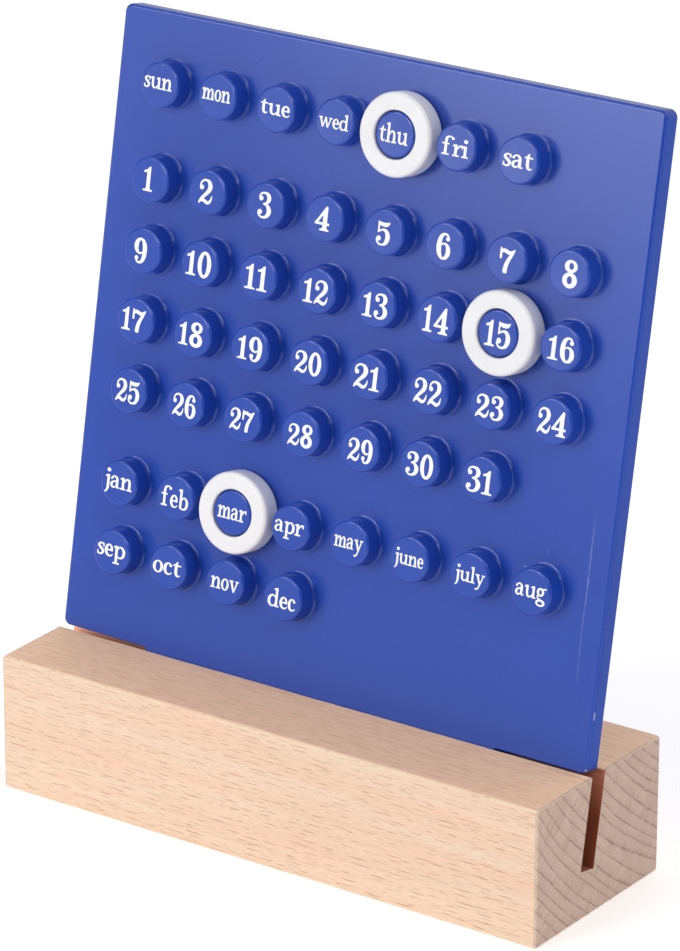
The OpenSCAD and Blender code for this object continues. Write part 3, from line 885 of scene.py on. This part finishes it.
def beech():
    m = Mat("beech_wood")
    p0 = m.pos()
    # slow drift of the grain
    bend = m.node("TexNoise", {"Vector": m.vmath("MULTIPLY", p0, (0.008, 0.03, 0.03)), "Scale": 1.0, "Detail": 2.0})
    p = m.vmath("ADD", p0, m.vmath("SCALE", m.vmath("SUBTRACT", bend.outputs["Color"], (0.5, 0.5, 0.5)), scale=2.2))
    x, y, z = m.sep(p)
    # polar coordinates about a pith above and behind the block
    py, pz = m.math("SUBTRACT", y, 80.0), m.math("SUBTRACT", z, 112.0)
    r = m.math("SQRT", m.math("ADD", m.math("MULTIPLY", py, py), m.math("MULTIPLY", pz, pz)))
    t = m.math("MULTIPLY", m.math("ARCTAN2", pz, py), 124.0)
    # annual rings, uneven in width: a slow darkening that ends in a sharp line
    wr = m.math("ADD", r, m.math("MULTIPLY", m.noise(m.xyz(m.math("MULTIPLY", x, 0.006), m.math("MULTIPLY", t, 0.018), m.math("MULTIPLY", r, 0.14)), 1.0, 2.0, 0.45), 5.4))
    wr = m.math("ADD", wr, m.math("MULTIPLY", m.noise(m.xyz(m.math("MULTIPLY", x, 0.05), m.math("MULTIPLY", t, 0.55), m.math("MULTIPLY", r, 0.4)), 1.0, 2.0, 0.6), 0.55))
    ringp = m.math("FRACT", m.math("DIVIDE", wr, 2.8))
    late = m.math("MULTIPLY", m.span(ringp, 0.35, 0.95), m.span(ringp, 0.95, 1.0, 1.0, 0.0))
    line = m.math("MULTIPLY", m.span(ringp, 0.78, 0.94), m.span(ringp, 0.96, 1.0, 1.0, 0.0))

    def flecks(cx, ct, cr, off, half, thick, pick):
        """Thin pointed dashes: rays cut across, cx by ct mm apart and running cr mm in along the radius."""
        v = m.xyz(m.math("MULTIPLY_ADD", x, 1.0 / cx, off), m.math("MULTIPLY", t, 1.0 / ct), m.math("MULTIPLY", r, 1.0 / cr))
        vor = m.node("TexVoronoi", {"Vector": v, "Scale": 1.0, "Randomness": 0.92})
        dx, dt, _ = m.sep(m.vmath("SUBTRACT", v, vor.outputs["Position"]))
        c1, c2, c3 = m.sep(vor.outputs["Color"])
        ex = m.math("DIVIDE", m.math("MULTIPLY", dx, cx), m.math("MULTIPLY_ADD", c1, 0.6 * half, 0.4 * half))
        lens = m.math("SUBTRACT", 1.0, m.math("MULTIPLY", ex, ex))
        val = m.math("SUBTRACT", m.math("MULTIPLY", lens, m.math("MULTIPLY_ADD", c2, 0.5 * thick, 0.5 * thick)),
                     m.math("MULTIPLY", m.math("ABSOLUTE", dt), ct))
        return m.math("MULTIPLY", m.span(val, 0.0, 0.05), m.span(c3, pick - 0.3, pick, 1.0, 0.0))

    long_ray = flecks(5.8, 0.92, 9.0, 0.0, 4.0, 0.10, 0.98)
    short_ray = flecks(3.3, 0.85, 7.0, 13.7, 1.9, 0.08, 0.72)
    faint_ray = flecks(2.4, 0.6, 6.0, 31.3, 1.2, 0.075, 0.9)
    # fine fibres and pores
    fib = m.noise(m.vmath("MULTIPLY", p, (0.11, 2.6, 2.6)), 1.0, 4.0, 0.65)
    pore = m.noise(m.vmath("MULTIPLY", p, (0.45, 7.0, 7.0)), 1.0, 2.0, 0.6)
    band = m.noise(m.vmath("MULTIPLY", p, (0.012, 0.16, 0.16)), 1.0, 3.0, 0.55)
    pink = m.noise(m.vmath("MULTIPLY", p, (0.02, 0.24, 0.24)), 1.0, 2.0, 0.5)
    col = m.mix(m.span(band, 0.34, 0.66), (0.80, 0.578, 0.424), (0.83, 0.624, 0.47))
    col = m.mix(m.span(pink, 0.50, 0.72, 0.0, 0.7), col, (0.86, 0.552, 0.41))
    col = m.mix(m.span(pink, 0.46, 0.28, 0.0, 0.5), col, (0.80, 0.655, 0.50))
    grit = m.noise(m.vmath("MULTIPLY", p, (0.55, 3.2, 3.2)), 1.0, 2.0, 0.6)
    col = m.mix(m.span(grit, 0.48, 0.72, 0.0, 0.30), col, (0.70, 0.46, 0.31))
    col = m.mix(m.span(grit, 0.46, 0.26, 0.0, 0.30), col, (0.93, 0.74, 0.58))
    col = m.mix(m.math("MULTIPLY", late, 0.22), col, (0.74, 0.49, 0.345))
    col = m.mix(m.span(fib, 0.42, 0.78, 0.0, 0.34), col, (0.72, 0.485, 0.34))
    # the top face was planed along the rays' edges, so its flecks are paler; the top face is also painted a brighter,
    # warmer tone as painted light, standing in for how light falls on it
    top = m.span(m.sep(p0)[2], 33.20, 33.58)
    # painted light: a brighter, warmer tone on the top face only
    col = m.mix(m.math("MULTIPLY", top, 0.62), col, (1.0, 0.63, 0.388))
    streak = m.noise(m.vmath("MULTIPLY", p, (0.16, 1.3, 1.3)), 1.0, 3.0, 0.62)
    col = m.mix(m.math("MULTIPLY", top, m.span(streak, 0.46, 0.68, 0.0, 0.5)), col, (0.76, 0.45, 0.26))
    col = m.mix(m.math("MULTIPLY", top, m.span(streak, 0.44, 0.30, 0.0, 0.5)), col, (0.97, 0.71, 0.50))
    strength = m.math("MULTIPLY_ADD", top, -0.35, 0.80)
    ray = m.math("MULTIPLY", m.math("MAXIMUM", long_ray, m.math("MAXIMUM", m.math("MULTIPLY", short_ray, 0.62), m.math("MULTIPLY", faint_ray, 0.32))), strength)
    col = m.mix(ray, col, (0.47, 0.225, 0.125))
    # end grain: greyer, with the ring boundaries as thin dark lines crossed by fine radial rays
    ax = m.math("ABSOLUTE", m.sep(p0)[0])
    end = m.span(ax, 74.15, 74.75)
    tiny = m.noise(m.xyz(m.math("MULTIPLY", t, 2.3), m.math("MULTIPLY", r, 0.12), 0.0), 1.0, 3.0, 0.6)
    dots = m.noise(m.vmath("MULTIPLY", p, (0.4, 3.2, 3.2)), 1.0, 2.0, 0.6)
    ecol = m.mix(m.span(band, 0.34, 0.66), (0.572, 0.404, 0.326), (0.622, 0.45, 0.368))
    ecol = m.mix(m.math("MULTIPLY", late, 0.34), ecol, (0.455, 0.31, 0.25))
    ecol = m.mix(m.span(tiny, 0.45, 0.70, 0.0, 0.6), ecol, (0.40, 0.27, 0.21))
    ecol = m.mix(m.span(tiny, 0.42, 0.28, 0.0, 0.45), ecol, (0.67, 0.53, 0.445))
    ecol = m.mix(m.span(dots, 0.50, 0.72, 0.0, 0.45), ecol, (0.38, 0.255, 0.20))
    weak = m.span(m.noise(m.xyz(m.math("MULTIPLY", t, 0.4), m.math("MULTIPLY", r, 0.5), 0.0), 1.0, 3.0, 0.65), 0.34, 0.60, 0.2, 0.8)
    ecol = m.mix(m.math("MULTIPLY", line, weak), ecol, (0.27, 0.165, 0.12))
    col = m.mix(end, col, ecol)
    # broken edges: pale, partly from wear and partly a painted highlight along their roundings
    edge = m.node("Attribute", attribute_name="edge", attribute_type="GEOMETRY").outputs["Fac"]
    wear_and_sheen = m.math("MULTIPLY", m.span(edge, 0.35, 0.95), m.span(m.noise(m.vmath("MULTIPLY", p, (0.15, 0.4, 0.4)), 1.0, 2.0, 0.5), 0.25, 0.7, 0.35, 1.0))
    col = m.mix(m.math("MULTIPLY", wear_and_sheen, 0.5), col, (0.90, 0.735, 0.55))
    # painted shade: the walls and floor of the saw cut are painted dark and reddish, darkest deep down and a little
    # lighter near its mouth
    q = m.vmath("SUBTRACT", p0, tuple(ORG))
    d = m.vmath("DOT_PRODUCT", q, tuple(OUT))
    s = m.vmath("DOT_PRODUCT", q, tuple(UP))
    cut = m.math("MULTIPLY", m.span(d, 0.16, 0.22, 1.0, 0.0), m.span(d, -5.22, -5.16))
    cut = m.math("MULTIPLY", cut, m.span(m.sep(p0)[2], 33.15, 33.42, 1.0, 0.0))
    cut = m.math("MULTIPLY", cut, m.span(s, -SLOT_DEEP - 0.06, -SLOT_DEEP - 0.02))
    cut_shade_col = m.mix(m.span(s, -12.0, -1.0), (0.25, 0.058, 0.026), (0.50, 0.17, 0.095))
    # painted light: near the mouth at the left end the walls are painted much lighter, standing in for light that comes
    # in under the left shoulder
    gap_light = m.math("MULTIPLY", m.span(m.sep(p0)[0], -44.0, -50.0), m.span(s, -4.6, -2.4))
    cut_shade_col = m.mix(gap_light, cut_shade_col, (1.0, 0.49, 0.32))
    cut_shade_col = m.mix(m.math("MULTIPLY", m.span(fib, 0.4, 0.75, 0.0, 0.5), m.math("SUBTRACT", 1.0, gap_light)), cut_shade_col, (0.22, 0.06, 0.03))
    col = m.mix(cut, col, cut_shade_col)
    m.set(Base_Color=col)
    rough = m.span(fib, 0.3, 0.8, 0.48, 0.62)
    nrm = m.bump(pore, 0.00002)
    nrm = m.bump(fib, 0.00003, normal=nrm)
    nrm = m.bump(ray, -0.00002, normal=nrm)
    m.set(Roughness=rough, Normal=nrm, IOR=1.45, Specular_IOR_Level=0.4)
    return m.m


def floor_mat():
    m = Mat("studio_floor")
    p = m.pos()
    col = m.mix(m.noise(p, 0.004, 2.0, 0.5), (0.93, 0.93, 0.93), (0.95, 0.95, 0.95))
    # painted shade: far in front the floor is painted darker
    col = m.mix(m.span(m.sep(p)[1], -180.0, -400.0), col, (0.66, 0.66, 0.66))
    # painted light: near the calendar the floor glows, though it is no lamp
    glow = m.span(m.sep(p)[1], -420.0, -130.0, 0.0, 0.28)
    m.set(Base_Color=col, Roughness=0.9, Specular_IOR_Level=0.1, Emission_Color=(1.0, 1.0, 1.0), Emission_Strength=glow)
    return m.m


# ---------------------------------------------------------------------------
# Camera
# ---------------------------------------------------------------------------
cam_data = bpy.data.cameras.new("camera")
cam_data.lens = 197.0
cam_data.sensor_width = 36.0
cam_data.clip_start = 0.05
cam_data.clip_end = 50.0
cam = bpy.data.objects.new("camera", cam_data)
SC.collection.objects.link(cam)
cam.matrix_world = Matrix(((0.81587896, -0.20884486, 0.53918953, 0.637208),
                           (0.57822175, 0.29297225, -0.76146363, -0.894147),
                           (0.00106019, 0.93303327, 0.35978854, 0.511002),
                           (0.0, 0.0, 0.0, 1.0)))
SC.camera = cam

# ---------------------------------------------------------------------------
# Pieces
# ---------------------------------------------------------------------------
mat_blue, mat_white, mat_ink, mat_beech = blue_plastic(), white_plastic(), ink(), beech()

block = build_block()
block.data.materials.append(mat_beech)
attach(block, "base")
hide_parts("base_block")

panel = build_panel()
panel.data.materials.append(mat_blue)
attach(panel, "panel")
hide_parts("panel", "weekday_studs", "date_studs", "month_studs")

for nm, place in (("weekday_ring", WEEKDAYS[4][1]), ("date_ring", DATES[14][1]), ("month_ring", MONTHS[2][1])):
    o = build_ring(nm + "_moulding", place)
    o.data.materials.append(mat_white)
    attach(o, nm)
    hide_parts(nm)

for nm, items in (("weekday_names", WEEKDAYS), ("date_numbers", DATES), ("month_names", MONTHS)):
    o = build_labels(nm, items)
    o.data.materials.append(mat_ink)
    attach(o, "panel")

# ---------------------------------------------------------------------------
# Stage: a pale floor, painted darker far in front and glowing near the calendar, and soft studio light
# ---------------------------------------------------------------------------
fm = bpy.data.meshes.new("floor")
fm.from_pydata([(-6, -6, 0), (6, -6, 0), (6, 6, 0), (-6, 6, 0)], [], [(0, 1, 2, 3)])
floor = bpy.data.objects.new("floor", fm)
SC.collection.objects.link(floor)
floor.data.materials.append(floor_mat())


def area(name, loc, target, sx, sy, power, color=(1, 1, 1)):
    ld = bpy.data.lights.new(name, "AREA")
    ld.shape = "RECTANGLE"
    ld.size, ld.size_y = sx, sy
    ld.energy = power
    ld.color = color
    ob = bpy.data.objects.new(name, ld)
    SC.collection.objects.link(ob)
    ob.location = loc
    ob.rotation_euler = (Vector(target) - Vector(loc)).to_track_quat("-Z", "Y").to_euler()
    return ob


def softbox(name, az, el, dist, sx, sy, power):
    """A square softbox that looks at the calendar, az degrees from straight in front (right is +) and el up."""
    a, e = math.radians(az), math.radians(el)
    return area(name, (dist * math.sin(a) * math.cos(e), -dist * math.cos(a) * math.cos(e), 0.10 + dist * math.sin(e)),
                (0, 0, 0.10), sx, sy, power)


softbox("key", -17, 18, 1.8, 0.42, 0.42, 6.4)
softbox("key_left", -27, 12, 0.9, 0.22, 0.20, 0.90)
softbox("upper_left", -37, 28, 1.8, 0.40, 0.34, 3.9)
softbox("left_mid", -40, 16, 0.9, 0.20, 0.20, 0.24)
softbox("side_left", -50, 6, 0.9, 0.20, 0.26, 0.42)
softbox("front_low", -24, 3, 0.9, 0.20, 0.12, 0.10)
softbox("right_high", 68, 48, 1.8, 0.6, 0.6, 6.2)
softbox("right_side", 83, 13, 1.75, 0.6, 0.9, 2.2)

# the studio's walls: brighter overhead and behind than in front
world = bpy.data.worlds.new("studio")
SC.world = world
world.use_nodes = True
wt = world.node_tree
bg = wt.nodes["Background"]
bg.inputs[0].default_value = (1.0, 1.0, 1.0, 1.0)
way = wt.nodes.new("ShaderNodeSeparateXYZ")
wt.links.new(wt.nodes.new("ShaderNodeTexCoord").outputs["Generated"], way.inputs[0])


def ramp(sock, lo, hi, to_lo, to_hi):
    n = wt.nodes.new("ShaderNodeMapRange")
    for k, v in (("From Min", lo), ("From Max", hi), ("To Min", to_lo), ("To Max", to_hi)):
        n.inputs[k].default_value = v
    wt.links.new(sock, n.inputs["Value"])
    return n.outputs[0]


both = wt.nodes.new("ShaderNodeMath")
both.operation = "ADD"
wt.links.new(ramp(way.outputs[2], 0.35, 0.75, 0.0, 0.72), both.inputs[0])
wt.links.new(ramp(way.outputs[1], 0.2, 0.7, 0.0, 0.58), both.inputs[1])
wt.links.new(both.outputs[0], bg.inputs[1])

SC.view_settings.view_transform = "Standard"
SC.view_settings.look = "None"
SC.view_settings.exposure = 0.0
SC.view_settings.gamma = 1.0
